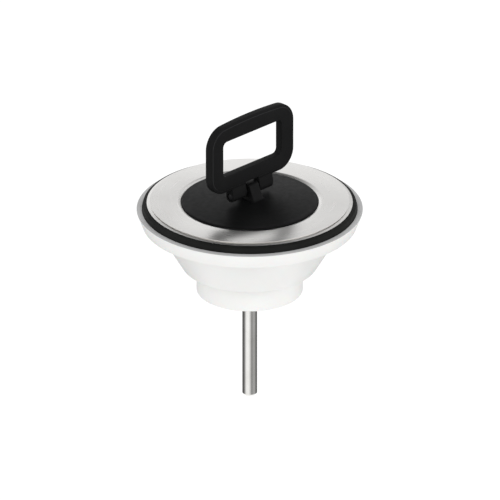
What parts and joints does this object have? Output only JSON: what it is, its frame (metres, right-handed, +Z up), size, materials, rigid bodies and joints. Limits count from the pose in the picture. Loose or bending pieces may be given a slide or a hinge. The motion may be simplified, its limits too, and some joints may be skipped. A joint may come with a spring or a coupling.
{
  "type": "sink drain strainer",
  "caption": "Kitchen sink waste for a 90 mm hole: steel strainer flange, lift-out plug with folding handle, white body and a long clamping screw.",
  "frame": {"origin": "on the waste's axis, at the underside of the upper gasket, which is the upper face of the sink it is fitted in", "axes": "+Z up along the waste's axis, out of the sink's hole towards the plug's handle; the handle's hinge axis lies along X"},
  "size_m": [0.1234, 0.1234, 0.1685],
  "materials": {
    "steel_sheet": "satin, circularly brushed stainless steel",
    "screw_steel": "bright drawn stainless steel",
    "nut_brass": "machined brass",
    "black_rubber": "matt moulded rubber",
    "grey_plastic": "matt grey sheet plastic",
    "white_plastic": "satin moulded polypropylene",
    "black_plastic": "satin moulded plastic"
  },
  "bodies": {
    "strainer": {"strainer_flange": "steel_sheet", "upper_gasket": "black_rubber", "screw_seal": "black_rubber"},
    "clamp_screw": {"clamp_screw": "screw_steel"},
    "housing": {"waste_body": "white_plastic", "slip_washer": "grey_plastic", "clamp_nut": "nut_brass", "outlet_seal": "black_rubber"},
    "plug": {"plug_cap": "black_plastic", "plug_seal": "black_rubber", "seal_retainer": "black_plastic", "retainer_screw": "screw_steel"},
    "handle": {"handle_loop": "black_plastic", "hinge_pin": "black_plastic"}
  },
  "joints": [
    {"name": "housing_clamp", "type": "slide", "parent": "strainer", "child": "housing", "axis": [0, 0, -1], "range_m": [0, 0.078]},
    {"name": "screw_turn", "type": "hinge", "parent": "strainer", "child": "clamp_screw", "pos_m": [0, 0, 0], "axis": [0, 0, 1], "range_deg": [0, 22470]},
    {"name": "plug_lift", "type": "slide", "parent": "strainer", "child": "plug", "axis": [0, 0, 1], "range_m": [0, 0.06]},
    {"name": "handle_fold", "type": "hinge", "parent": "plug", "child": "handle", "pos_m": [0, 0, 0.01085], "axis": [1, 0, 0], "range_deg": [-90, 90]}
  ],
  "couplings": [
    {"joint": "screw_turn", "follows": "housing_clamp", "rad_per_m": 5026.5}
  ]
}
